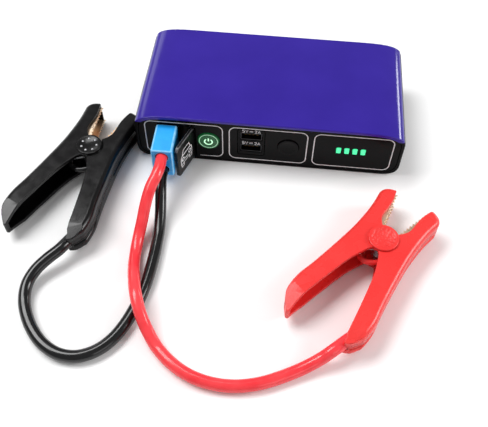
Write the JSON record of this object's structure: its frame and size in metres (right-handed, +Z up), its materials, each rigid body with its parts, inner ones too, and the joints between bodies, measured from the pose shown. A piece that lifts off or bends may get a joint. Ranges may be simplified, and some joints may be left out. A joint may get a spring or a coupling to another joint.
{
  "type": "jump starter",
  "caption": "Flat lithium jump starter pack with lit buttons, charging outlets, a hinged port flap, and a plug with red and black leads ending in toothed spring clamps.",
  "frame": {"origin": "middle of the pack's flat base, on the surface that the object stands on", "axes": "+X along the front panel, to the right of someone who faces it; -Y out of the front panel, where the plug goes in; +Z up"},
  "size_m": [0.252, 0.2337, 0.0375],
  "materials": {
    "cover": "gloss",
    "black_gloss": "gloss",
    "black_matt": "matt",
    "trim": "satin",
    "red_plastic": "gloss",
    "red_cable": "gloss",
    "black_cable": "gloss",
    "blue_plastic": "satin",
    "start_green": "satin",
    "lamp_green": "satin",
    "steel": "brushed",
    "copper": "polished",
    "brass": "polished",
    "board": "matt",
    "foil": "satin",
    "relay_black": "matt"
  },
  "bodies": {
    "pack": {"top_cover": "cover", "lower_case": "black_gloss", "case_screw_1": "steel", "case_screw_2": "steel", "case_screw_3": "steel", "case_screw_4": "steel", "front_panel": "black_gloss", "outline_left": "trim", "outline_middle": "trim", "outline_right": "trim", "start_switch": "relay_black", "power_switch": "relay_black", "usb_bezel": "black_gloss", "usb_shell_upper": "steel", "usb_shell_lower": "steel", "usb_tongue_upper": "black_matt", "usb_tongue_lower": "black_matt", "gauge_lamp_1": "lamp_green", "gauge_lamp_2": "lamp_green", "gauge_lamp_3": "lamp_green", "gauge_lamp_4": "lamp_green", "front_board": "board", "battery_cell_1": "foil", "battery_cell_2": "foil", "battery_cell_3": "foil", "start_board": "board", "start_relay": "relay_black", "start_socket": "black_matt", "contact_upper": "brass", "contact_lower": "brass", "busbar_upper": "copper", "busbar_lower": "copper"},
    "start_button": {"start_button": "start_green"},
    "power_button": {"power_button": "black_gloss"},
    "port_flap": {"port_flap": "black_matt"},
    "leads": {"plug_housing": "blue_plastic", "plug_pin_upper": "brass", "plug_pin_lower": "brass", "red_lead": "red_cable", "black_lead": "black_cable", "red_lead_grip": "red_plastic", "red_lead_jaw": "copper", "red_crimp": "steel", "red_pivot_pin": "steel", "red_cap_bottom": "red_plastic", "red_cap_top": "red_plastic", "red_bridge_wire": "red_cable", "red_spring": "steel", "black_lead_grip": "black_gloss", "black_lead_jaw": "copper", "black_crimp": "steel", "black_pivot_pin": "steel", "black_cap_bottom": "black_gloss", "black_cap_top": "black_gloss", "black_bridge_wire": "black_cable", "black_spring": "steel"},
    "red_free_half": {"red_free_grip": "red_plastic", "red_free_jaw": "copper"},
    "black_free_half": {"black_free_grip": "black_gloss", "black_free_jaw": "copper"}
  },
  "joints": [
    {"name": "start_button_press", "type": "slide", "parent": "pack", "child": "start_button", "axis": [0, 1, 0], "range_m": [0, 0.001], "stiffness_N_per_m": 900},
    {"name": "power_button_press", "type": "slide", "parent": "pack", "child": "power_button", "axis": [0, 1, 0], "range_m": [0, 0.001], "stiffness_N_per_m": 900},
    {"name": "port_flap_hinge", "type": "hinge", "parent": "pack", "child": "port_flap", "pos_m": [-0.0464, -0.039, 0.016], "axis": [0, 0, 1], "range_deg": [0, 40.5]},
    {"name": "plug_pull", "type": "slide", "parent": "pack", "child": "leads", "axis": [0, -1, 0], "range_m": [0, 0.024]},
    {"name": "red_clamp_hinge", "type": "hinge", "parent": "leads", "child": "red_free_half", "pos_m": [0.0696, -0.1022, 0.0102], "axis": [0, 0, 1], "range_deg": [-32, 20], "stiffness_Nm_per_rad": 1.1, "deforming": ["red_spring", "red_bridge_wire"]},
    {"name": "black_clamp_hinge", "type": "hinge", "parent": "leads", "child": "black_free_half", "pos_m": [-0.1088, -0.0522, 0.0102], "axis": [0, 0, 1], "range_deg": [-28, 24], "stiffness_Nm_per_rad": 1.1, "deforming": ["black_spring", "black_bridge_wire"]}
  ]
}
